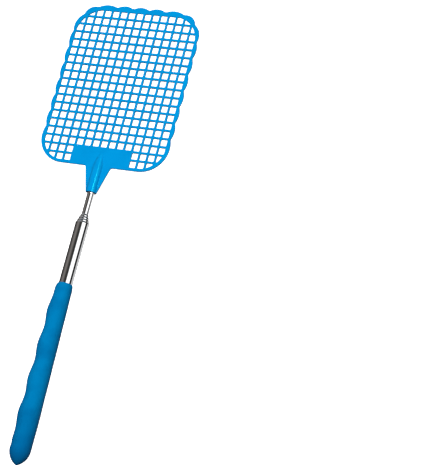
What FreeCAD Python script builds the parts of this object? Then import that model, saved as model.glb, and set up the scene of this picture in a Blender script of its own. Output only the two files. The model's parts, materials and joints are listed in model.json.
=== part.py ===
import FreeCAD, Part
import math
import os

# Telescopic fly swatter: a moulded grid head on the thinnest of five nested steel tubes, and a soft grip
# on the widest. It lies flat and is closed up.
# Frame: +Y runs up the handle to the head, +Z out of the front striking face, +X across the head, and
# the grip's finger bumps face -X. The origin is under the middle of the closed length, at the level of
# the surface that the grip lies on.
# All lengths are in millimetres. Places along the handle count from the end of the grip.

overall_length = 350.0

# Tubes, numbered 0 (outer) to 4 (the rod that carries the head)
section_count = 5
outer_tube_radius = 5.0
radius_step = 0.625
tube_wall = 0.4
outer_tube_length = 161.8
outer_mouth_at = 179.6
rim_step = 1.95

# Rolled mouth of each tube: a curved shoulder outside, a thin lip inside
shoulder_height = 1.1
shoulder_depth = 0.5
lip_height = 0.4
lip_slope = 0.2

# Running clearances, all radial
lip_clearance = 0.06
foot_clearance = 0.06
shoe_clearance = 0.05
pivot_clearance = 0.05

# Swaged seat at the lower end of each inner tube, with its foot ring and its two friction shoes
seat_depth = 0.25
seat_cone = 0.7
seat_cone_lead = 0.1
foot_height = 3.0
foot_chamfer = 0.3
shoe_length = 8.0
shoe_thickness = 0.12
shoe_seat_gap = 0.02
shoe_angle = 170.0
shoe_end_gap = 0.2
seat_length = foot_height + shoe_length + 2 * shoe_end_gap
stage_gap = 0.3

# Pivot stud that ends the rod and lets it turn in its foot ring
stud_radius = 1.6
stud_head_radius = 2.3
stud_head_height = 1.0
stud_shank_depth = 7.5
stud_play = 0.1

# End plug in the outer tube
plug_shank = 5.0
plug_flange = 1.5
plug_tail = 6.0
plug_tail_radius = 3.5
plug_tail_end_radius = 2.6

# Grip. Its straight side, +X, narrows more to the mouth than its finger side, -X.
grip_length = 132.5
grip_dome = 11.7
grip_tip_radius = 1.0
grip_taper_from = 29.0
straight_radius = 8.1
straight_taper = 0.0225
finger_radius = 7.52
finger_taper = 0.003
bump_pitch = 25.1
bump_height = 0.64
bump_count = 4
lowest_bump_at = 36.8
grip_lip_length = 3.5
grip_lip_radius = 5.15
grip_lip_power = 1.33
grip_steps = 24
grip_lip_steps = 4

# Head grid: square holes on a square pitch. Its outline is given in pitches from the grid's centre.
pitch = 6.4
columns = 15
rows = 19
hole_size = 4.8
plate_thickness = 1.6
plate_edge_round = 0.45
head_centre_at = 285.0
solid_columns = 7
solid_rows = 2
inner_half_width = 7.42
inner_bottom = -9.40
inner_top = 9.42
inner_bottom_radius = 2.75
inner_top_radius = 3.1
outline_bottom = -9.75
bottom_corner_radius = 3.15
side_notch = 7.68
first_side_notch = -5.5
side_scallops = 6
scallop_width = 2.0
side_bulge = 0.22
corner_notches = [(6.92, 8.70), (5.35, 9.75)]
corner_bulge = 0.40
top_notch = 9.85
top_notches = [3.0, 1.0]
top_bulge = 0.30
notch_round = 2.5

# Neck web and rod socket of the head
neck_top_half = 1.55
neck_foot_half = 0.65
neck_round = 1.5
socket_mouth_at = 202.5
socket_radius = 4.0
socket_round = 0.6
nose_start_at = 220.0
nose_length = 13.5
nose_tip_radius = 0.5
rod_tip_at = 227.0
rod_wall = 0.5
bead_depth = 0.3
bead_width = 0.8
bead_slope = 0.6
bead_from_tip = 6.0

# How close two places are to count as the same
place_tolerance = 0.01

origin = FreeCAD.Vector(0, 0, 0)
along_axis = FreeCAD.Vector(0, 1, 0)
outer_tube_bottom = outer_mouth_at - outer_tube_length
rod_section = section_count - 1


def tube_radius(section):
    """Outside radius of a tube."""
    return outer_tube_radius - radius_step * section


def tube_bore(section):
    """Bore radius of a tube."""
    return tube_radius(section) - tube_wall


def seat_radius(section):
    """Outside radius of the swaged seat at a tube's lower end."""
    return tube_radius(section) - seat_depth


def mouth_at(section):
    """Place of a tube's rolled rim. Each one stands a little out of the one around it."""
    return outer_mouth_at + rim_step * section


def foot_at(section):
    """Place of a foot ring's lower face. Each tube rests on the swage, or the plug, of the one around."""
    first = outer_tube_bottom + plug_shank + stage_gap
    place = first + (section - 1) * (seat_length + seat_cone + stage_gap)
    if section == rod_section:
        place += stud_head_height + stud_play
    return place


def lower_end_at(section):
    """Place of a tube's lower end: through its foot ring, but above it on the rod."""
    if section == rod_section:
        return foot_at(section) + foot_height + stud_play
    return foot_at(section)


def profile_face(points):
    """Face from (radius, along) points. One with four values is reached by an arc through the last two."""
    edges = []
    for index, point in enumerate(points):
        following = points[(index + 1) % len(points)]
        start = FreeCAD.Vector(point[0], point[1], 0)
        end = FreeCAD.Vector(following[0], following[1], 0)
        if len(following) == 4:
            through = FreeCAD.Vector(following[2], following[3], 0)
            edges.append(Part.Arc(start, through, end).toShape())
        else:
            edges.append(Part.makeLine(start, end))
    return Part.Face(Part.Wire(edges))


def turned(points):
    """Solid of revolution about the handle's axis."""
    return profile_face(points).revolve(origin, along_axis, 360)


def narrowing(radius, start, depth, length):
    """Profile point that ends an arc which leaves a straight wall and narrows by depth over length."""
    bend = (depth ** 2 + length ** 2) / (2 * depth)
    half_angle = math.asin(length / bend) / 2
    through_radius = radius - bend + bend * math.cos(half_angle)
    through_place = start + bend * math.sin(half_angle)
    return radius - depth, start + length, through_radius, through_place


def mouth_profile(section):
    """Rolled-in rim of a tube, from its outside to its bore."""
    radius = tube_radius(section)
    mouth = mouth_at(section)
    shoulder_from = mouth - shoulder_height
    lip = tube_radius(section + 1) + lip_clearance
    return [
        (radius, shoulder_from),
        narrowing(radius, shoulder_from, shoulder_depth, shoulder_height),
        (lip, mouth),
        (lip, mouth - lip_height),
        (tube_bore(section), mouth - lip_height - lip_slope),
    ]


def seat_profile(section, wall):
    """Swaged lower end of a tube, from its bore to its outside."""
    radius = tube_radius(section)
    lower_end = lower_end_at(section)
    seat_top = foot_at(section) + seat_length
    return [
        (radius - wall, seat_top + seat_cone - seat_cone_lead),
        (radius - wall - seat_depth, seat_top - seat_cone_lead),
        (radius - wall - seat_depth, lower_end),
        (radius - seat_depth, lower_end),
        (radius - seat_depth, seat_top),
        (radius, seat_top + seat_cone),
    ]


def outer_tube():
    """Widest tube: plain lower end, rolled mouth."""
    lower_end = [
        (tube_bore(0), outer_tube_bottom),
        (tube_radius(0), outer_tube_bottom),
    ]
    return turned(lower_end + mouth_profile(0))


def sliding_tube(section):
    """Middle tube: swaged lower end, rolled mouth."""
    return turned(seat_profile(section, tube_wall) + mouth_profile(section))


def head_rod():
    """Thinnest tube. The head is moulded round its tip, which has a rolled bead that holds the moulding."""
    radius = tube_radius(rod_section)
    bore = radius - rod_wall
    bead_top = rod_tip_at - bead_from_tip
    bead_bottom = bead_top - bead_width
    return turned(seat_profile(rod_section, rod_wall) + [
        (radius, bead_bottom - bead_slope),
        (radius - bead_depth, bead_bottom),
        (radius - bead_depth, bead_top),
        (radius, bead_top + bead_slope),
        (radius, rod_tip_at),
        (bore, rod_tip_at),
        (bore, bead_top + bead_slope),
        (bore - bead_depth, bead_top),
        (bore - bead_depth, bead_bottom),
        (bore, bead_bottom - bead_slope),
    ])


def foot_ring(section):
    """Brass ring that centres a tube's lower end in the tube around it. The rod's turns on its stud."""
    bore = seat_radius(section)
    if section == rod_section:
        bore = stud_radius + pivot_clearance
    outside = tube_bore(section - 1) - foot_clearance
    bottom = foot_at(section)
    top = bottom + foot_height
    return turned([
        (bore, bottom),
        (outside - foot_chamfer, bottom),
        (outside, bottom + foot_chamfer),
        (outside, top - foot_chamfer),
        (outside - foot_chamfer, top),
        (bore, top),
    ])


def friction_shoe(section, side):
    """Half-round bowed spring strip on the seat, pressing on the tube around it. Side is 0 or 1."""
    inner = seat_radius(section) + shoe_seat_gap
    outer = inner + shoe_thickness
    crest = tube_bore(section - 1) - shoe_clearance
    low = foot_at(section) + foot_height + shoe_end_gap
    high = low + shoe_length
    middle = (low + high) / 2
    strip = profile_face([
        (inner, low, crest - shoe_thickness, middle),
        (outer, low),
        (outer, high, crest, middle),
        (inner, high),
    ])
    strip.rotate(origin, along_axis, side * 180 + (180 - shoe_angle) / 2)
    return strip.revolve(origin, along_axis, shoe_angle)


def pivot_stud():
    """Steel stud pressed into the rod's lower end. Its head keeps the rod's foot ring on."""
    head_top = foot_at(rod_section) - stud_play
    shank_bottom = lower_end_at(rod_section)
    shank_radius = seat_radius(rod_section) - rod_wall
    return turned([
        (0, head_top - stud_head_height),
        (stud_head_radius, head_top - stud_head_height),
        (stud_head_radius, head_top),
        (stud_radius, head_top),
        (stud_radius, shank_bottom),
        (shank_radius, shank_bottom),
        (shank_radius, shank_bottom + stud_shank_depth),
        (0, shank_bottom + stud_shank_depth),
    ])


def end_plug():
    """Plastic plug that closes the outer tube and stiffens the grip's end."""
    flange_bottom = outer_tube_bottom - plug_flange
    return turned([
        (0, outer_tube_bottom + plug_shank),
        (tube_bore(0), outer_tube_bottom + plug_shank),
        (tube_bore(0), outer_tube_bottom),
        (tube_radius(0), outer_tube_bottom),
        (tube_radius(0), flange_bottom),
        (plug_tail_radius, flange_bottom),
        (plug_tail_end_radius, flange_bottom - plug_tail),
        (0, flange_bottom - plug_tail),
    ])


def grip_taper_run(along):
    """Length over which the grip has narrowed at a place."""
    return max(0.0, along - grip_taper_from)


def finger_wave(along):
    """Height of the finger side over its mean: level below the first bump and above the last one."""
    lowest = lowest_bump_at - bump_pitch / 2
    highest = lowest + bump_count * bump_pitch
    place = min(max(along, lowest), highest)
    return bump_height * math.cos(2 * math.pi * (place - lowest_bump_at) / bump_pitch)


def grip_section(along):
    """Centre and radius of the grip's round section, its rounded mouth left out."""
    straight = straight_radius - straight_taper * grip_taper_run(along)
    finger = finger_radius - finger_taper * grip_taper_run(along) + finger_wave(along)
    return (straight - finger) / 2, (straight + finger) / 2


def grip_station(step):
    """Place of one of the even sections that the grip is drawn through."""
    return grip_dome + (grip_length - grip_lip_length - grip_dome) * step / grip_steps


def grip_circle(along, closing):
    """Round section of the grip. Closing, 0 to 1, draws it in towards the tube, as at the rounded mouth."""
    centre, radius = grip_section(along)
    middle = FreeCAD.Vector(centre * (1 - closing), along, 0)
    return Part.Wire(Part.makeCircle(radius + (grip_lip_radius - radius) * closing, middle, along_axis))


def grip_dome_end():
    """Pointed dome that ends the grip, with a small round tip."""
    centre, radius = grip_section(grip_dome)
    tip = grip_tip_radius
    rise = grip_dome - tip
    bend = (radius ** 2 - tip ** 2 + rise ** 2) / (2 * (radius - tip))
    tilt = math.asin(rise / (bend - tip))
    half_way = (tilt + math.pi / 2) / 2
    touch_radius = tip * math.cos(tilt)
    touch_place = tip * (1 - math.sin(tilt))
    dome = turned([
        (0, grip_dome),
        (radius, grip_dome),
        narrowing(radius, grip_dome, radius - touch_radius, touch_place - grip_dome),
        (0, 0, tip * math.cos(half_way), tip * (1 - math.sin(half_way))),
    ])
    dome.translate(FreeCAD.Vector(centre, 0, 0))
    return dome


def grip_sleeve():
    """Soft sleeve with four finger bumps and a domed end, moulded over the outer tube and its plug."""
    circles = [grip_circle(grip_station(step), 0) for step in range(grip_steps + 1)]
    for step in range(1, grip_lip_steps + 1):
        angle = step / grip_lip_steps * math.pi / 2
        along = grip_length - grip_lip_length * (1 - math.sin(angle) ** grip_lip_power)
        circles.append(grip_circle(along, 1 - math.cos(angle) ** grip_lip_power))
    body = Part.makeLoft(circles, True).fuse(grip_dome_end())
    core_start = FreeCAD.Vector(0, outer_tube_bottom, 0)
    core = Part.makeCylinder(tube_radius(0), outer_tube_length, core_start, along_axis)
    return body.cut(core).cut(end_plug())


def head_point(across, upward):
    """Point on the head's middle plane, from its place in pitches."""
    return FreeCAD.Vector(across * pitch, head_centre_at + upward * pitch, 0)


def head_arc(start, through, end):
    """Arc on the head's middle plane."""
    return Part.Arc(head_point(*start), head_point(*through), head_point(*end)).toShape()


def head_line(start, end):
    """Straight edge on the head's middle plane."""
    return Part.makeLine(head_point(*start), head_point(*end))


def bulged(start, end, bulge):
    """Arc that stands out to the left of the way from start to end."""
    run = (end[0] - start[0], end[1] - start[1])
    length = math.hypot(run[0], run[1])
    through_x = (start[0] + end[0]) / 2 - run[1] / length * bulge
    through_y = (start[1] + end[1]) / 2 + run[0] / length * bulge
    return head_arc(start, (through_x, through_y), end)


def mirrored(points):
    """The same points on the other side of the middle line, in the opposite order."""
    return [(-x, y) for x, y in reversed(points)]


def plate_outline():
    """Closed outline of the head: scalloped sides and top, round lower corners, straight lower edge."""
    side = [(-side_notch, first_side_notch + scallop_width * step) for step in range(side_scallops + 1)]
    corner = [(-x, y) for x, y in corner_notches]
    half_top = [(-x, top_notch) for x in top_notches]
    left = side + corner + half_top
    notches = left + mirrored(left)
    edges = []
    for start, end in zip(notches, notches[1:]):
        edges.append(bulged(start, end, scallop_bulge(start, end)))
    lowest = side[0]
    rise = lowest[1] - outline_bottom
    reach = math.sqrt(2 * bottom_corner_radius * rise - rise * rise)
    foot_x = lowest[0] + reach
    corner_y = outline_bottom + bottom_corner_radius
    start_angle = math.pi + math.atan2(corner_y - lowest[1], reach)
    half_angle = (start_angle + 1.5 * math.pi) / 2
    through_x = foot_x + bottom_corner_radius * math.cos(half_angle)
    through_y = corner_y + bottom_corner_radius * math.sin(half_angle)
    edges.append(head_arc((-lowest[0], lowest[1]), (-through_x, through_y), (-foot_x, outline_bottom)))
    edges.append(head_line((-foot_x, outline_bottom), (foot_x, outline_bottom)))
    edges.append(head_arc((foot_x, outline_bottom), (through_x, through_y), lowest))
    return Part.Wire(edges)


def scallop_bulge(start, end):
    """Height of the scallop between two notches."""
    if start[0] == end[0]:
        return side_bulge
    if max(start[1], end[1]) < top_notch:
        return corner_bulge
    return top_bulge


def inner_region():
    """Area inside the head's solid rim: a rectangle whose corners clip the corner holes."""
    low_inset = inner_bottom_radius * (1 - math.sqrt(0.5))
    high_inset = inner_top_radius * (1 - math.sqrt(0.5))
    low_end = (inner_half_width - inner_bottom_radius, inner_bottom)
    low_middle = (inner_half_width - low_inset, inner_bottom + low_inset)
    side_low = (inner_half_width, inner_bottom + inner_bottom_radius)
    side_high = (inner_half_width, inner_top - inner_top_radius)
    high_middle = (inner_half_width - high_inset, inner_top - high_inset)
    high_end = (inner_half_width - inner_top_radius, inner_top)
    edges = [
        head_arc(low_end, low_middle, side_low),
        head_line(side_low, side_high),
        head_arc(side_high, high_middle, high_end),
        head_line(high_end, *mirrored([high_end])),
        head_arc(*mirrored([side_high, high_middle, high_end])),
        head_line(*mirrored([side_low, side_high])),
        head_arc(*mirrored([low_end, low_middle, side_low])),
        head_line(*mirrored([low_end]), low_end),
    ]
    return Part.Face(Part.Wire(edges))


def hole_squares():
    """Square holes of the grid. The middle of the two lowest rows is solid."""
    squares = []
    half = hole_size / 2
    for row in range(rows):
        for column in range(columns):
            across = column - (columns - 1) / 2
            if row < solid_rows and abs(across) < solid_columns / 2:
                continue
            centre = head_point(across, row - (rows - 1) / 2)
            low = centre - FreeCAD.Vector(half, half, 0)
            squares.append(Part.makePlane(hole_size, hole_size, low))
    return Part.makeCompound(squares)


def neck_web():
    """Flat tapering web from the socket's mouth into the lowest row of the grid."""
    foot_y = (socket_mouth_at - head_centre_at) / pitch
    inside_y = outline_bottom + 1
    corners = [
        (-neck_top_half, inside_y),
        (-neck_top_half, outline_bottom),
        (-neck_foot_half, foot_y),
        (neck_foot_half, foot_y),
        (neck_top_half, outline_bottom),
        (neck_top_half, inside_y),
    ]
    edges = [head_line(start, end) for start, end in zip(corners, corners[1:] + corners[:1])]
    return Part.Wire(edges)


def upright_edges(solid, places):
    """Edges that run through the plate's thickness at the given places."""
    found = []
    for edge in solid.Edges:
        middle = edge.CenterOfMass
        for place in places:
            beside = math.hypot(middle.x - place.x, middle.y - place.y)
            if beside < place_tolerance and abs(middle.z) < place_tolerance:
                found.append(edge)
    return found


def slab(wire):
    """Plate of the head's thickness, centred on the handle's axis."""
    plate = Part.Face(wire).extrude(FreeCAD.Vector(0, 0, plate_thickness))
    plate.translate(FreeCAD.Vector(0, 0, -plate_thickness / 2))
    return plate


def head_plate():
    """Grid plate with its neck web, rounded notches and rounded edges."""
    outline = plate_outline()
    plate = slab(outline).fuse(slab(neck_web())).removeSplitter()
    lower_edge = head_point(0, outline_bottom).y
    notches = [vertex.Point for vertex in outline.Vertexes if vertex.Y > lower_edge + place_tolerance]
    plate = plate.makeFillet(notch_round, upright_edges(plate, notches))
    neck = [head_point(side * neck_top_half, outline_bottom) for side in (-1, 1)]
    plate = plate.makeFillet(neck_round, upright_edges(plate, neck))
    rims = []
    for edge in plate.Edges:
        if abs(abs(edge.CenterOfMass.z) - plate_thickness / 2) < place_tolerance:
            rims.append(edge)
    return plate.makeFillet(plate_edge_round, rims)


def socket_ridge():
    """Round socket for the rod, ending in a pointed nose that sinks into the plate."""
    inset = socket_round * (1 - math.sqrt(0.5))
    return turned([
        (0, socket_mouth_at),
        (socket_radius - socket_round, socket_mouth_at),
        (socket_radius, socket_mouth_at + socket_round, socket_radius - inset, socket_mouth_at + inset),
        (socket_radius, nose_start_at),
        narrowing(socket_radius, nose_start_at, socket_radius - nose_tip_radius, nose_length),
        (0, nose_start_at + nose_length),
    ])


def rod_space():
    """Room that the rod's tip takes up in the head."""
    radius = tube_radius(rod_section) - rod_wall
    start = FreeCAD.Vector(0, socket_mouth_at, 0)
    return head_rod().fuse(Part.makeCylinder(radius, rod_tip_at - socket_mouth_at, start, along_axis))


def grid_side():
    """Block that holds all of the head above its straight lower edge, with room to spare."""
    corner = head_point(-columns, outline_bottom)
    corner.z = -2 * socket_radius
    return Part.makeBox(2 * columns * pitch, 2 * rows * pitch, 4 * socket_radius, corner)


def head_grid(plate):
    """Flat grid of the head, above its straight lower edge and round the socket's nose."""
    holes = inner_region().common(hole_squares())
    prisms = holes.extrude(FreeCAD.Vector(0, 0, 2 * plate_thickness))
    prisms.translate(FreeCAD.Vector(0, 0, -plate_thickness))
    return plate.common(grid_side()).cut(prisms).cut(socket_ridge())


def head_neck(plate):
    """Neck web and rod socket. They are one moulding with the grid, which they meet face to face."""
    return plate.cut(grid_side()).fuse(socket_ridge()).cut(rod_space())


def axis_height():
    """Height of the handle's axis: the fattest place of the grip touches the surface below."""
    return max(grip_section(grip_station(step))[1] for step in range(grip_steps + 1))


def save(name, shape):
    """Writes one sub-part, moved from the handle's axis to the object's frame."""
    shape.translate(FreeCAD.Vector(0, -overall_length / 2, axis_height()))
    shape.exportStep(os.path.join("parts", name + ".step"))


def main():
    os.makedirs("parts", exist_ok=True)
    tube_names = ["outer_tube", "second_tube", "third_tube", "fourth_tube", "head_rod"]
    save(tube_names[0], outer_tube())
    for section in range(1, rod_section):
        save(tube_names[section], sliding_tube(section))
    save(tube_names[rod_section], head_rod())
    for section in range(1, section_count):
        save(tube_names[section] + "_foot", foot_ring(section))
        save(tube_names[section] + "_shoe_a", friction_shoe(section, 0))
        save(tube_names[section] + "_shoe_b", friction_shoe(section, 1))
    save("rod_pivot_stud", pivot_stud())
    save("tube_end_plug", end_plug())
    save("grip_sleeve", grip_sleeve())
    plate = head_plate()
    save("head_grid", head_grid(plate))
    save("head_neck", head_neck(plate))


main()
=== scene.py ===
import json
import math

import bpy
from mathutils import Matrix, Vector
from mathutils.geometry import delaunay_2d_cdt


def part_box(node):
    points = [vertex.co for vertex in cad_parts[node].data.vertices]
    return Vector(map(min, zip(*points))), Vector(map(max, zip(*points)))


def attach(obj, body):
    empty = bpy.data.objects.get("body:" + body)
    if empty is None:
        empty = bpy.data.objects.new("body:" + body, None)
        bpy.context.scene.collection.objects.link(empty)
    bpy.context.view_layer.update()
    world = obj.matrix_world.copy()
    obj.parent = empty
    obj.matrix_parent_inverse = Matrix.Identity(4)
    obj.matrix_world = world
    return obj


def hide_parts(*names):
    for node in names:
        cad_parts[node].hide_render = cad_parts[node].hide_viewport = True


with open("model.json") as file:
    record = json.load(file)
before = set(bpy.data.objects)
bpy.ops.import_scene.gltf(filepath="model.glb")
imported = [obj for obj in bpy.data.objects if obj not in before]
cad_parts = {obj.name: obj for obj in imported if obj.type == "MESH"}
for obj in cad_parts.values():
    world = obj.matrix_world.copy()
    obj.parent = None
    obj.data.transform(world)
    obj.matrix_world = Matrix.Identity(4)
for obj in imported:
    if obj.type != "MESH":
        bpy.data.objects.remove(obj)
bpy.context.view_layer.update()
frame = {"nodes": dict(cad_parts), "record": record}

# Telescopic fly swatter. The frame's steel tubes and inner pieces are shown as they are, with
# finishes of their own; the moulded head is built here from its drawing, with its edges rounded.

# Places read from the frame, in metres
rod_low, rod_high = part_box("head_rod")
grid_low, grid_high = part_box("head_grid")
neck_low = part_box("head_neck")[0]
axis_height = (rod_low.z + rod_high.z) / 2
millimetre = 0.001

# Head drawing, as in the CAD. Its outline is in pitches from the grid's centre.
pitch = 6.4 * millimetre
columns = 15
rows = 19
hole_size = 4.8 * millimetre
outline_bottom = -9.75
head_centre = grid_low.y - outline_bottom * pitch
plate_thickness = 1.6 * millimetre
edge_round = 0.45 * millimetre
hole_edge_round = 0.22 * millimetre
hole_corner_round = 0.4 * millimetre
solid_columns = 7
solid_rows = 2
inner_half_width = 7.42
inner_bottom = -9.40
inner_top = 9.42
inner_bottom_radius = 2.75
inner_top_radius = 3.1
bottom_corner_radius = 3.15
side_notch = 7.68
first_side_notch = -5.5
side_scallops = 6
scallop_width = 2.0
side_bulge = 0.22
corner_notches = [(6.92, 8.70), (5.35, 9.75)]
corner_bulge = 0.40
top_notch = 9.85
top_notches = [3.0, 1.0]
top_bulge = 0.30
notch_round = 2.5 * millimetre
neck_top_half = 1.55
neck_foot_half = 0.65
neck_round = 1.5 * millimetre
neck_end_round = 0.5 * millimetre
socket_radius = 4.0 * millimetre
socket_fillet = 0.5 * millimetre
socket_end_round = 0.6 * millimetre
nose_start = neck_low.y + 17.5 * millimetre
nose_length = 13.5 * millimetre
nose_tip_radius = 0.5 * millimetre

# Fineness of the head's mesh
outline_step = 0.7 * millimetre
fewest_arc_steps = 3
inner_corner_steps = 24
hole_corner_steps = 4
edge_round_steps = 3
mouth_round_steps = 4
straight_steps = 6
nose_steps = 28
fillet_steps = 4
ridge_steps = 12
same_place = 0.01 * millimetre
shortest_side = 0.02 * millimetre

# Noise in the materials: cells per metre, and the part of its range that their colours run over
flow_scale = 90.0
gloss_scale = 420.0
metal_flow_scale = 150.0
noise_low = 0.35
noise_high = 0.65


# ---------------------------------------------------------------- materials

def new_material(name):
    """New material, its node tree and its Principled shader."""
    material = bpy.data.materials.new(name)
    material.use_nodes = True
    tree = material.node_tree
    tree.nodes.clear()
    output = tree.nodes.new("ShaderNodeOutputMaterial")
    shader = tree.nodes.new("ShaderNodeBsdfPrincipled")
    tree.links.new(shader.outputs["BSDF"], output.inputs["Surface"])
    return material, tree, shader


def object_coordinates(tree, scale=(1, 1, 1)):
    """The piece's own rest coordinates in metres, stretched by scale."""
    coordinates = tree.nodes.new("ShaderNodeTexCoord")
    mapping = tree.nodes.new("ShaderNodeMapping")
    mapping.inputs["Scale"].default_value = scale
    tree.links.new(coordinates.outputs["Object"], mapping.inputs["Vector"])
    return mapping.outputs["Vector"]


def noise(tree, vector, scale, detail=3.0):
    """Noise from 0 to 1, with about scale cells to the metre."""
    node = tree.nodes.new("ShaderNodeTexNoise")
    node.inputs["Scale"].default_value = scale
    node.inputs["Detail"].default_value = detail
    tree.links.new(vector, node.inputs["Vector"])
    return node.outputs["Fac"]


def ramp(tree, factor, stops):
    """Colour ramp with (place, colour or grey) stops."""
    node = tree.nodes.new("ShaderNodeValToRGB")
    elements = node.color_ramp.elements
    while len(elements) < len(stops):
        elements.new(0.5)
    for element, (place, value) in zip(elements, stops):
        element.position = place
        colour = value if isinstance(value, tuple) else (value, value, value)
        element.color = (*colour, 1.0)
    tree.links.new(factor, node.inputs["Fac"])
    return node.outputs["Color"]


def spread(tree, factor, low, high):
    """Colour or grey that goes from low to high over the middle of the noise's range."""
    return ramp(tree, factor, [(noise_low, low), (noise_high, high)])


def bump(tree, shader, height, strength, distance):
    """Raises the shader's surface by height, up to distance in metres."""
    node = tree.nodes.new("ShaderNodeBump")
    node.inputs["Strength"].default_value = strength
    node.inputs["Distance"].default_value = distance
    tree.links.new(height, node.inputs["Height"])
    tree.links.new(node.outputs["Normal"], shader.inputs["Normal"])


def painted_shade_along_piece(tree, vector, piece, most):
    """Mask for painted shade: a value that rises from 0 below the piece's lower end to most at its
    middle.
    """
    lead_in = 0.02
    low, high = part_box(piece)
    split = tree.nodes.new("ShaderNodeSeparateXYZ")
    share = tree.nodes.new("ShaderNodeMapRange")
    share.interpolation_type = "SMOOTHSTEP"
    share.inputs["From Min"].default_value = low.y - lead_in
    share.inputs["From Max"].default_value = (low.y + high.y) / 2
    tree.links.new(vector, split.inputs["Vector"])
    tree.links.new(split.outputs["Y"], share.inputs["Value"])
    tree.links.new(most, share.inputs["To Max"])
    return share.outputs["Result"]


def plastic_material(
    name, dark, light, rough, grain_scale, grain_depth, specular, gloss_tint, painted_shade_end_of=None
):
    """Moulded plastic: slight colour flow, uneven gloss and a fine moulded grain. It may darken
    toward the lower end of one piece, as painted shade where the light falls off."""
    lightest_flow = 0.55
    material, tree, shader = new_material(name)
    place = object_coordinates(tree)
    flow = noise(tree, place, flow_scale)
    # Painted shade: toward the lower end of the named piece, the colour runs down to its dark stop.
    if painted_shade_end_of:
        flow = painted_shade_along_piece(tree, place, painted_shade_end_of, flow)
    colour = ramp(tree, flow, [(0.0, dark), (lightest_flow, light)])
    gloss = spread(tree, noise(tree, place, gloss_scale), *rough)
    tree.links.new(colour, shader.inputs["Base Color"])
    tree.links.new(gloss, shader.inputs["Roughness"])
    shader.inputs["Specular IOR Level"].default_value = specular
    shader.inputs["Specular Tint"].default_value = (*gloss_tint, 1.0)
    grain = noise(tree, place, grain_scale, detail=2.0)
    bump(tree, shader, grain, strength=0.5, distance=grain_depth)
    return material


def metal_material(name, dark, light, rough, stretch, line_scale, line_depth):
    """Metal with fine drawn or turned lines along one direction."""
    material, tree, shader = new_material(name)
    shader.inputs["Metallic"].default_value = 1.0
    flow = noise(tree, object_coordinates(tree), metal_flow_scale)
    lines = noise(tree, object_coordinates(tree, stretch), line_scale, detail=2.0)
    tree.links.new(spread(tree, flow, dark, light), shader.inputs["Base Color"])
    tree.links.new(spread(tree, lines, *rough), shader.inputs["Roughness"])
    bump(tree, shader, lines, strength=0.3, distance=line_depth)
    return material


head_plastic = plastic_material(
    "head_plastic",
    dark=(0.0, 0.222, 0.555),
    light=(0.0, 0.272, 0.645),
    rough=(0.18, 0.24),
    grain_scale=2600.0,
    grain_depth=0.00003,
    specular=0.6,
    gloss_tint=(0.02, 0.95, 0.75),
)
# The grip's dark colour is partly random colour flow and, toward its lower end, painted shade.
grip_rubber = plastic_material(
    "grip_rubber",
    dark=(0.0, 0.104, 0.298),
    light=(0.0, 0.188, 0.446),
    rough=(0.55, 0.70),
    grain_scale=1500.0,
    grain_depth=0.00012,
    specular=0.15,
    gloss_tint=(0.05, 0.9, 0.8),
    painted_shade_end_of="grip_sleeve",
)
plug_plastic = plastic_material(
    "plug_plastic",
    dark=(0.010, 0.010, 0.012),
    light=(0.020, 0.020, 0.024),
    rough=(0.45, 0.60),
    grain_scale=1800.0,
    grain_depth=0.00005,
    specular=0.5,
    gloss_tint=(1.0, 1.0, 1.0),
)
polished_tube = metal_material(
    "polished_tube",
    dark=(0.86, 0.87, 0.88),
    light=(0.93, 0.93, 0.94),
    rough=(0.04, 0.08),
    stretch=(1.0, 0.02, 1.0),
    line_scale=3000.0,
    line_depth=0.000004,
)
turned_steel = metal_material(
    "turned_steel",
    dark=(0.50, 0.51, 0.52),
    light=(0.58, 0.59, 0.60),
    rough=(0.25, 0.40),
    stretch=(1.0, 60.0, 1.0),
    line_scale=120.0,
    line_depth=0.00001,
)
brass_ring = metal_material(
    "brass_ring",
    dark=(0.72, 0.50, 0.18),
    light=(0.80, 0.60, 0.26),
    rough=(0.22, 0.38),
    stretch=(1.0, 60.0, 1.0),
    line_scale=120.0,
    line_depth=0.00001,
)
spring_bronze = metal_material(
    "spring_bronze",
    dark=(0.60, 0.34, 0.15),
    light=(0.70, 0.43, 0.20),
    rough=(0.25, 0.40),
    stretch=(1.0, 0.05, 1.0),
    line_scale=2200.0,
    line_depth=0.000006,
)
finishes = {
    "head_plastic": head_plastic,
    "grip_rubber": grip_rubber,
    "plug_plastic": plug_plastic,
    "polished_tube": polished_tube,
    "turned_steel": turned_steel,
    "brass_ring": brass_ring,
    "spring_bronze": spring_bronze,
}
for subpart in frame["record"]["subparts"]:
    node = frame["nodes"][subpart["node"]]
    node.data.materials.clear()
    node.data.materials.append(finishes[subpart["material_slot"]])


# ---------------------------------------------------------------- head

def circle_through(start, through, end):
    """Centre and radius of the circle through three points."""
    ax, ay = start
    bx, by = through
    cx, cy = end
    divisor = 2 * (ax * (by - cy) + bx * (cy - ay) + cx * (ay - by))
    a_square = ax * ax + ay * ay
    b_square = bx * bx + by * by
    c_square = cx * cx + cy * cy
    centre = Vector((
        (a_square * (by - cy) + b_square * (cy - ay) + c_square * (ay - by)) / divisor,
        (a_square * (cx - bx) + b_square * (ax - cx) + c_square * (bx - ax)) / divisor,
    ))
    return centre, (Vector(start) - centre).length


def head_point(across, upward):
    """Point on the head's plane, from its place in pitches."""
    return Vector((across * pitch, head_centre + upward * pitch))


def bulged(start, end, bulge):
    """Circle arc that stands out to the left of the way from start to end, both in pitches."""
    run_x, run_y = end[0] - start[0], end[1] - start[1]
    length = math.hypot(run_x, run_y)
    through = (
        (start[0] + end[0]) / 2 - run_y / length * bulge,
        (start[1] + end[1]) / 2 + run_x / length * bulge,
    )
    points = [head_point(*start), head_point(*through), head_point(*end)]
    centre, radius = circle_through(*points)
    return {"centre": centre, "radius": radius, "start": points[0], "end": points[2], "outward": 1}


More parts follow.
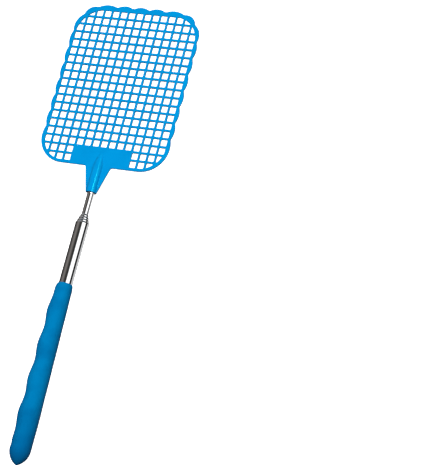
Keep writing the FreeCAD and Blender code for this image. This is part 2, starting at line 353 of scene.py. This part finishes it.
def notch_fillet(first, second):
    """Fillet that fills the notch between two outward arcs. Shortens both to where it touches."""
    reach_a = first["radius"] + notch_round
    reach_b = second["radius"] + notch_round
    between = second["centre"] - first["centre"]
    distance = between.length
    along = (reach_a ** 2 - reach_b ** 2 + distance ** 2) / (2 * distance)
    height = math.sqrt(reach_a ** 2 - along ** 2)
    unit = between / distance
    side = Vector((-unit.y, unit.x))
    middle = first["centre"] + unit * along
    corner = first["end"]
    choices = (middle + side * height, middle - side * height)
    centre = min(choices, key=lambda point: (point - corner).length)
    first["end"] = first["centre"] + (centre - first["centre"]) * (first["radius"] / reach_a)
    second["start"] = second["centre"] + (centre - second["centre"]) * (second["radius"] / reach_b)
    return {
        "centre": centre,
        "radius": notch_round,
        "start": first["end"],
        "end": second["start"],
        "outward": -1,
    }


def arc_points(arc):
    """(point, outward normal) pairs along an arc, its end left out."""
    centre = arc["centre"]
    a = arc["start"] - centre
    b = arc["end"] - centre
    start_angle = math.atan2(a.y, a.x)
    turn = math.atan2(a.x * b.y - a.y * b.x, a.dot(b))
    count = max(fewest_arc_steps, math.ceil(abs(turn) * arc["radius"] / outline_step))
    pairs = []
    for index in range(count):
        angle = start_angle + turn * index / count
        radial = Vector((math.cos(angle), math.sin(angle)))
        pairs.append((centre + radial * arc["radius"], radial * arc["outward"]))
    return pairs


def corner_fillet(before, corner, after, radius, outward):
    """Arc that rounds the corner between two straight runs."""
    to_before = (before - corner).normalized()
    to_after = (after - corner).normalized()
    half = to_before.angle(to_after) / 2
    setback = radius / math.tan(half)
    centre = corner + (to_before + to_after).normalized() * (radius / math.sin(half))
    return {
        "centre": centre,
        "radius": radius,
        "start": corner + to_before * setback,
        "end": corner + to_after * setback,
        "outward": outward,
    }


def scallop_bulge(start, end):
    """Height of the scallop between two notches."""
    if start[0] == end[0]:
        return side_bulge
    if max(start[1], end[1]) < top_notch:
        return corner_bulge
    return top_bulge


def notch_points():
    """Notches between the scallops, in pitches, clockwise from the lower left corner."""
    side = []
    for index in range(side_scallops + 1):
        side.append((-side_notch, first_side_notch + scallop_width * index))
    left = side + [(-x, y) for x, y in corner_notches] + [(-x, top_notch) for x in top_notches]
    return left + [(-x, y) for x, y in reversed(left)]


def bottom_corners(lowest):
    """Arcs from the head's lower edge to its lowest notches, on the left and on the right."""
    rise = lowest[1] - outline_bottom
    reach = math.sqrt(2 * bottom_corner_radius * rise - rise * rise)
    foot_x = lowest[0] + reach
    corner_y = outline_bottom + bottom_corner_radius
    corner_radius = bottom_corner_radius * pitch
    left = {
        "centre": head_point(foot_x, corner_y),
        "radius": corner_radius,
        "start": head_point(foot_x, outline_bottom),
        "end": head_point(*lowest),
        "outward": 1,
    }
    right = {
        "centre": head_point(-foot_x, corner_y),
        "radius": corner_radius,
        "start": head_point(-lowest[0], lowest[1]),
        "end": head_point(-foot_x, outline_bottom),
        "outward": 1,
    }
    return left, right


def neck_fillets(start, end):
    """Arcs that round the corners of the neck web, which goes from start down to the socket's mouth
    and back up to end."""
    right = [
        head_point(neck_top_half, outline_bottom),
        Vector((neck_foot_half * pitch, neck_low.y)),
    ]
    left = [Vector((-point.x, point.y)) for point in reversed(right)]
    corners = [start] + right + left + [end]
    rounds = [(neck_round, -1), (neck_end_round, 1), (neck_end_round, 1), (neck_round, -1)]
    return [
        corner_fillet(corners[index], corners[index + 1], corners[index + 2], radius, outward)
        for index, (radius, outward) in enumerate(rounds)
    ]


def head_outline():
    """(point, outward normal) pairs round the head and neck web, clockwise from the lower left."""
    notches = notch_points()
    left_corner, right_corner = bottom_corners(notches[0])
    scallops = [bulged(a, b, scallop_bulge(a, b)) for a, b in zip(notches, notches[1:])]
    chain = [left_corner]
    for arc in scallops + [right_corner]:
        chain.append(notch_fillet(chain[-1], arc))
        chain.append(arc)
    chain += neck_fillets(right_corner["end"], left_corner["start"])
    pairs = []
    for arc in chain:
        pairs += arc_points(arc)
        radial = (arc["end"] - arc["centre"]).normalized()
        pairs.append((arc["end"], radial * arc["outward"]))
    kept = [pairs[0]]
    for pair in pairs[1:]:
        if (pair[0] - kept[-1][0]).length > same_place:
            kept.append(pair)
    if (kept[-1][0] - kept[0][0]).length < same_place:
        kept.pop()
    return kept


def inner_region():
    """Convex polygon inside the head's solid rim, counter-clockwise."""
    corners = [
        (inner_half_width, inner_bottom, inner_bottom_radius, 1, -1),
        (inner_half_width, inner_top, inner_top_radius, 1, 1),
        (-inner_half_width, inner_top, inner_top_radius, -1, 1),
        (-inner_half_width, inner_bottom, inner_bottom_radius, -1, -1),
    ]
    starts = [-90, 0, 90, 180]
    points = []
    for (x, y, radius, sign_x, sign_y), start in zip(corners, starts):
        centre = head_point(x - sign_x * radius, y - sign_y * radius)
        for index in range(inner_corner_steps + 1):
            angle = math.radians(start + 90 * index / inner_corner_steps)
            points.append(centre + Vector((math.cos(angle), math.sin(angle))) * radius * pitch)
    return points


def clipped(polygon, region):
    """Part of a convex polygon inside a counter-clockwise convex region."""
    no_length = 1e-9
    for a, b in zip(region, region[1:] + region[:1]):
        edge = b - a
        if edge.length < no_length:
            continue
        kept = []
        for p, q in zip(polygon, polygon[1:] + polygon[:1]):
            inside_p = edge.x * (p.y - a.y) - edge.y * (p.x - a.x)
            inside_q = edge.x * (q.y - a.y) - edge.y * (q.x - a.x)
            if inside_p >= 0:
                kept.append(p)
            if (inside_p >= 0) != (inside_q >= 0):
                kept.append(p + (q - p) * (inside_p / (inside_p - inside_q)))
        polygon = kept
        if len(polygon) < 3:
            return []
    return polygon


def hole_loops():
    """(point, normal into the plastic) pairs round each hole, its corners rounded."""
    region = inner_region()
    half = hole_size / 2
    corners = [
        Vector((-half, -half)),
        Vector((half, -half)),
        Vector((half, half)),
        Vector((-half, half)),
    ]
    loops = []
    for row in range(rows):
        for column in range(columns):
            across = column - (columns - 1) / 2
            if row < solid_rows and abs(across) < solid_columns / 2:
                continue
            centre = head_point(across, row - (rows - 1) / 2)
            square = [centre + corner for corner in corners]
            polygon = clipped(square, region)
            ends = polygon[1:] + polygon[:1]
            polygon = [p for p, q in zip(polygon, ends) if (q - p).length > shortest_side]
            if len(polygon) < 3:
                continue
            loops.append(rounded_polygon(polygon, hole_corner_round))
    return loops


def rounded_polygon(polygon, radius):
    """(point, outward normal) pairs round a convex polygon with rounded corners. A round takes at
    most a fixed share of a short side, and a blunt corner takes a single step."""
    most_of_side = 0.45
    blunt = math.radians(75)
    pairs = []
    count = len(polygon)
    for index in range(count):
        before, corner, after = polygon[index - 1], polygon[index], polygon[(index + 1) % count]
        half = (before - corner).angle(after - corner) / 2
        room = most_of_side * min((before - corner).length, (after - corner).length)
        used = min(radius, room * math.tan(half))
        arc = corner_fillet(before, corner, after, used, 1)
        steps = hole_corner_steps if half < blunt else 1
        a = arc["start"] - arc["centre"]
        b = arc["end"] - arc["centre"]
        for step in range(steps + 1):
            direction = a.lerp(b, step / steps).normalized()
            pairs.append((arc["centre"] + direction * used, direction))
    return pairs


def edge_profile(radius):
    """(inset, drop, outward share, upward share) from the flat face round to the side."""
    profile = []
    for step in range(edge_round_steps + 1):
        angle = math.pi / 2 * step / edge_round_steps
        outward, upward = math.sin(angle), math.cos(angle)
        profile.append((radius * (1 - outward), radius * (1 - upward), outward, upward))
    return profile


class MeshMaker:
    """Collects vertices with their normals, and faces."""

    def __init__(self):
        self.points = []
        self.normals = []
        self.faces = []

    def add(self, point, normal):
        """Adds a vertex and returns its number."""
        self.points.append(tuple(point))
        self.normals.append(tuple(normal))
        return len(self.points) - 1

    def bridge(self, lower, upper):
        """Joins two rings of as many vertices with a band of faces."""
        count = len(lower)
        for index in range(count):
            after = (index + 1) % count
            self.faces.append((lower[index], lower[after], upper[after], upper[index]))

    def piece(self, name, material):
        """Smooth object with the collected faces and normals."""
        mesh = bpy.data.meshes.new(name)
        mesh.from_pydata(self.points, [], self.faces)
        mesh.validate(clean_customdata=False)
        mesh.shade_smooth()
        mesh.normals_split_custom_set_from_vertices(self.normals)
        mesh.materials.append(material)
        piece = bpy.data.objects.new(name, mesh)
        bpy.context.scene.collection.objects.link(piece)
        return piece


def rim_rings(maker, pairs, radius, into):
    """Rings from the top face's edge, over its round and down the side, to the bottom face's edge.
    into is 1 where the plastic is inside the loop, and -1 where it is outside, as at a hole."""
    half = plate_thickness / 2
    profile = edge_profile(radius)
    rings = []
    for sign, order in ((1, profile), (-1, profile[::-1])):
        for inset, drop, outward, upward in order:
            ring = []
            for point, normal in pairs:
                flat = point - normal * inset * into
                ring.append(maker.add(
                    (flat.x, flat.y, axis_height + sign * (half - drop)),
                    (normal.x * outward * into, normal.y * outward * into, sign * upward),
                ))
            rings.append(ring)
    return rings


def flat_face(maker, loops, upside_down):
    """Fills the flat face between the outline, which is the first of the loops, and the holes. A
    triangle with all its corners on one hole lies in that hole, and is left out."""
    nearest = 1e-5
    inside_triangles = 1
    ring_index = -1 if upside_down else 0
    flat = []
    owners = []
    loop_numbers = []
    outlines = []
    for number, rings in enumerate(loops):
        ring = rings[ring_index]
        outlines.append(list(range(len(flat), len(flat) + len(ring))))
        for vertex in ring:
            flat.append(Vector(maker.points[vertex][:2]) / millimetre)
            owners.append(vertex)
            loop_numbers.append(number)
    result = delaunay_2d_cdt(flat, [], outlines, inside_triangles, nearest)
    triangles, sources = result[2], result[3]
    for triangle in triangles:
        corners = [sources[index][0] for index in triangle]
        met = {loop_numbers[corner] for corner in corners}
        if len(met) == 1 and met != {0}:
            continue
        face = [owners[corner] for corner in corners]
        maker.faces.append(tuple(reversed(face)) if upside_down else tuple(face))


def head_plate():
    """Grid plate and neck web, one closed shell with rounded edges."""
    maker = MeshMaker()
    loops = [rim_rings(maker, head_outline(), edge_round, 1)]
    loops += [rim_rings(maker, hole, hole_edge_round, -1) for hole in hole_loops()]
    for rings in loops:
        for upper, lower in zip(rings, rings[1:]):
            maker.bridge(upper, lower)
    flat_face(maker, loops, upside_down=False)
    flat_face(maker, loops, upside_down=True)
    return maker.piece("head", head_plastic)


def socket_stations():
    """(place, radius) pairs from the socket's mouth, along its straight part, to the end of its
    nose, where it is hardly thicker than the plate."""
    least_radius = plate_thickness / 2 * 1.02
    stations = []
    for step in range(mouth_round_steps + 1):
        angle = math.pi / 2 * step / mouth_round_steps
        place = neck_low.y + socket_end_round * (1 - math.cos(angle))
        stations.append((place, socket_radius - socket_end_round * (1 - math.sin(angle))))
    straight_start = neck_low.y + socket_end_round
    for step in range(1, straight_steps + 1):
        place = straight_start + (nose_start - straight_start) * step / straight_steps
        stations.append((place, socket_radius))
    narrowing = socket_radius - nose_tip_radius
    nose_radius = (narrowing ** 2 + nose_length ** 2) / (2 * narrowing)
    for step in range(1, nose_steps + 1):
        along = nose_length * step / nose_steps
        radius = socket_radius - nose_radius + math.sqrt(nose_radius ** 2 - along ** 2)
        if radius > least_radius:
            stations.append((nose_start + along, radius))
    return stations


def fillet_radius(place, radius):
    """Radius of the fillet between socket and plate. It grows from the mouth, and shrinks again
    where the nose runs down to the plate."""
    growing_length = 8 * millimetre
    share_at_mouth = 0.1
    half = plate_thickness / 2
    from_mouth = min(1.0, share_at_mouth + (place - neck_low.y) / growing_length)
    from_tip = min(1.0, 2 * (radius - half) / (socket_radius - half))
    return socket_fillet * from_mouth * from_tip


def socket_section(place, radius):
    """(x, z, normal x, normal z) round the socket at one place. Fillets blend it into the plate."""
    sunk = 0.03 * millimetre
    half = plate_thickness / 2
    fillet = fillet_radius(place, radius)
    level = half + fillet
    foot = math.sqrt((radius + fillet) ** 2 - level ** 2)
    touch = math.atan2(level, foot)
    quarter = [(foot, half - sunk, 0.0, 1.0)]
    for step in range(fillet_steps + 1):
        angle = -math.pi / 2 - (math.pi / 2 - touch) * step / fillet_steps
        x, z = math.cos(angle), math.sin(angle)
        quarter.append((foot + fillet * x, level + fillet * z, -x, -z))
    for step in range(1, ridge_steps + 1):
        angle = touch + (math.pi / 2 - touch) * step / ridge_steps
        x, z = math.cos(angle), math.sin(angle)
        quarter.append((radius * x, radius * z, x, z))
    top = quarter + [(-x, z, -nx, nz) for x, z, nx, nz in reversed(quarter[:-1])]
    return top + [(-x, -z, -nx, -nz) for x, z, nx, nz in top]


def socket():
    """Ridge that holds the rod: a round bar with a pointed nose, on both faces of the plate."""
    maker = MeshMaker()
    rings = []
    for place, radius in socket_stations():
        ring = []
        for x, z, nx, nz in socket_section(place, radius):
            ring.append(maker.add((x, place, axis_height + z), (nx, 0, nz)))
        rings.append(ring)
    for lower, upper in zip(rings, rings[1:]):
        maker.bridge(upper, lower)
    maker.faces.append(tuple(rings[0]))
    maker.faces.append(tuple(reversed(rings[-1])))
    return maker.piece("socket", head_plastic)


head = head_plate()
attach(head, "rod_and_head")
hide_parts("head_grid", "head_neck")
ridge = socket()
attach(ridge, "rod_and_head")


# ---------------------------------------------------------------- camera

def make_camera():
    """Looks down on the front face from the +X side, from nearer the handle's end than the head's.
    Lens and sensor are in millimetres."""
    aim = Vector((0.09715, 0.00714, axis_height))
    distance = 1.38512
    azimuth = math.radians(50.360)
    elevation = math.radians(62.656)
    roll = math.radians(-39.196)
    lens = 152.22
    sensor_width = 36.0
    back = Vector((
        math.sin(azimuth) * math.cos(elevation),
        -math.cos(azimuth) * math.cos(elevation),
        math.sin(elevation),
    ))
    level_right = Vector((math.cos(azimuth), math.sin(azimuth), 0))
    level_up = back.cross(level_right)
    right = level_right * math.cos(roll) + level_up * math.sin(roll)
    up = back.cross(right)
    data = bpy.data.cameras.new("camera")
    data.lens = lens
    data.sensor_width = sensor_width
    camera = bpy.data.objects.new("camera", data)
    bpy.context.scene.collection.objects.link(camera)
    rotation = Matrix((right, up, back)).transposed().to_4x4()
    camera.matrix_world = Matrix.Translation(aim + back * distance) @ rotation
    bpy.context.scene.camera = camera


make_camera()


# ---------------------------------------------------------------- floor and light

def make_floor():
    """Bright white sheet, low enough that the head clears it when it is turned on edge."""
    half_width = 8.0
    below_axis = 1.2 * grid_high.x
    level = axis_height - below_axis
    corners = [
        (-half_width, -half_width, level),
        (half_width, -half_width, level),
        (half_width, half_width, level),
        (-half_width, half_width, level),
    ]
    mesh = bpy.data.meshes.new("floor")
    mesh.from_pydata(corners, [], [(0, 1, 2, 3)])
    material, tree, shader = new_material("floor_white")
    mottle = noise(tree, object_coordinates(tree), scale=3.0)
    colour = ramp(tree, mottle, [(0.3, 0.90), (0.7, 0.92)])
    tree.links.new(colour, shader.inputs["Base Color"])
    shader.inputs["Roughness"].default_value = 0.9
    shader.inputs["Specular IOR Level"].default_value = 0.0
    shader.inputs["Emission Color"].default_value = (1, 1, 1, 1)
    shader.inputs["Emission Strength"].default_value = 1.05
    mesh.materials.append(material)
    floor = bpy.data.objects.new("floor", mesh)
    floor.visible_glossy = False
    floor.visible_diffuse = False
    bpy.context.scene.collection.objects.link(floor)


def area_light(name, place, aim, size, watts, glossy, diffuse):
    """Rectangular lamp that shows in glossy reflections, lights matt surfaces, or both."""
    data = bpy.data.lights.new(name, "AREA")
    data.shape = "RECTANGLE"
    data.size, data.size_y = size
    data.energy = watts
    light = bpy.data.objects.new(name, data)
    light.location = place
    light.rotation_mode = "QUATERNION"
    light.rotation_quaternion = (Vector(aim) - Vector(place)).to_track_quat("-Z", "Y")
    light.visible_glossy = glossy
    light.visible_diffuse = diffuse
    bpy.context.scene.collection.objects.link(light)


def shares(tree, value, low, high):
    """Value from low to high as a share from 0 to 1."""
    node = tree.nodes.new("ShaderNodeMapRange")
    node.inputs["From Min"].default_value = low
    node.inputs["From Max"].default_value = high
    tree.links.new(value, node.inputs["Value"])
    return node.outputs["Result"]


def bands(tree, turn, stops):
    """Surroundings with the brightness or colour in stops at each angle, in degrees."""
    background = tree.nodes.new("ShaderNodeBackground")
    colours = [((degrees + 180) / 360, value) for degrees, value in stops]
    tree.links.new(ramp(tree, turn, colours), background.inputs["Color"])
    return background.outputs["Background"]


def mixed(tree, factor, first, second):
    """The first surroundings where the factor is 0, and the second where it is 1."""
    node = tree.nodes.new("ShaderNodeMixShader")
    tree.links.new(factor, node.inputs["Fac"])
    tree.links.new(first, node.inputs[1])
    tree.links.new(second, node.inputs[2])
    return node.outputs["Shader"]


def make_world():
    """Soft even light for matt surfaces; banded studio surroundings for what shines. The bands run
    along the tubes. Angles are round the Y axis, from +X toward +Z."""
    world = bpy.data.worlds.new("studio")
    bpy.context.scene.world = world
    world.use_nodes = True
    tree = world.node_tree
    tree.nodes.clear()
    output = tree.nodes.new("ShaderNodeOutputWorld")
    coordinates = tree.nodes.new("ShaderNodeTexCoord")
    split = tree.nodes.new("ShaderNodeSeparateXYZ")
    tree.links.new(coordinates.outputs["Generated"], split.inputs["Vector"])
    angle = tree.nodes.new("ShaderNodeMath")
    angle.operation = "ARCTAN2"
    tree.links.new(split.outputs["Z"], angle.inputs[0])
    tree.links.new(split.outputs["X"], angle.inputs[1])
    turn = shares(tree, angle.outputs["Value"], -math.pi, math.pi)

    around = bands(tree, turn, [
        (-180, (0.047, 0.044, 0.041)),
        (-115, 0.055),
        (-98, 0.60),
        (-62, 0.55),
        (-46, 0.70),
        (-28, 0.50),
        (-22, 0.01),
        (9, 0.01),
        (13, 1.35),
        (66, 1.35),
        (73, 0.030),
        (102, (0.042, 0.040, 0.037)),
        (119, (0.140, 0.130, 0.122)),
        (137, (0.225, 0.209, 0.198)),
        (158, (0.112, 0.104, 0.098)),
        (180, (0.047, 0.044, 0.041)),
    ])
    headward = bands(tree, turn, [
        (-180, 0.20),
        (-20, 0.05),
        (0, 0.02),
        (80, 0.02),
        (100, 0.28),
        (180, 0.28),
    ])
    along = shares(tree, split.outputs["Y"], -1, 1)
    is_headward = ramp(tree, along, [(0.0, 0.0), (0.69, 0.0), (0.73, 1.0), (1.0, 1.0)])
    banded = mixed(tree, is_headward, around, headward)

    height = shares(tree, split.outputs["Z"], -1, 1)
    levels = ramp(tree, height, [(0.0, 0.10), (0.45, 0.11), (0.55, 0.17), (1.0, 0.17)])
    soft = tree.nodes.new("ShaderNodeBackground")
    tree.links.new(levels, soft.inputs["Color"])
    path = tree.nodes.new("ShaderNodeLightPath")
    surroundings = mixed(tree, path.outputs["Is Glossy Ray"], soft.outputs["Background"], banded)
    tree.links.new(surroundings, output.inputs["Surface"])


make_floor()
make_world()
area_light(
    "key",
    place=(0.18, 0.10, 0.94),
    aim=(0, 0.06, 0),
    size=(0.2, 0.2),
    watts=9.9,
    glossy=False,
    diffuse=True,
)
area_light(
    "streak",
    place=(0.062, 0.070, 0.108),
    aim=(0, 0.036, 0.012),
    size=(0.010, 0.014),
    watts=0.032,
    glossy=True,
    diffuse=False,
)
bpy.context.scene.view_settings.view_transform = "Standard"
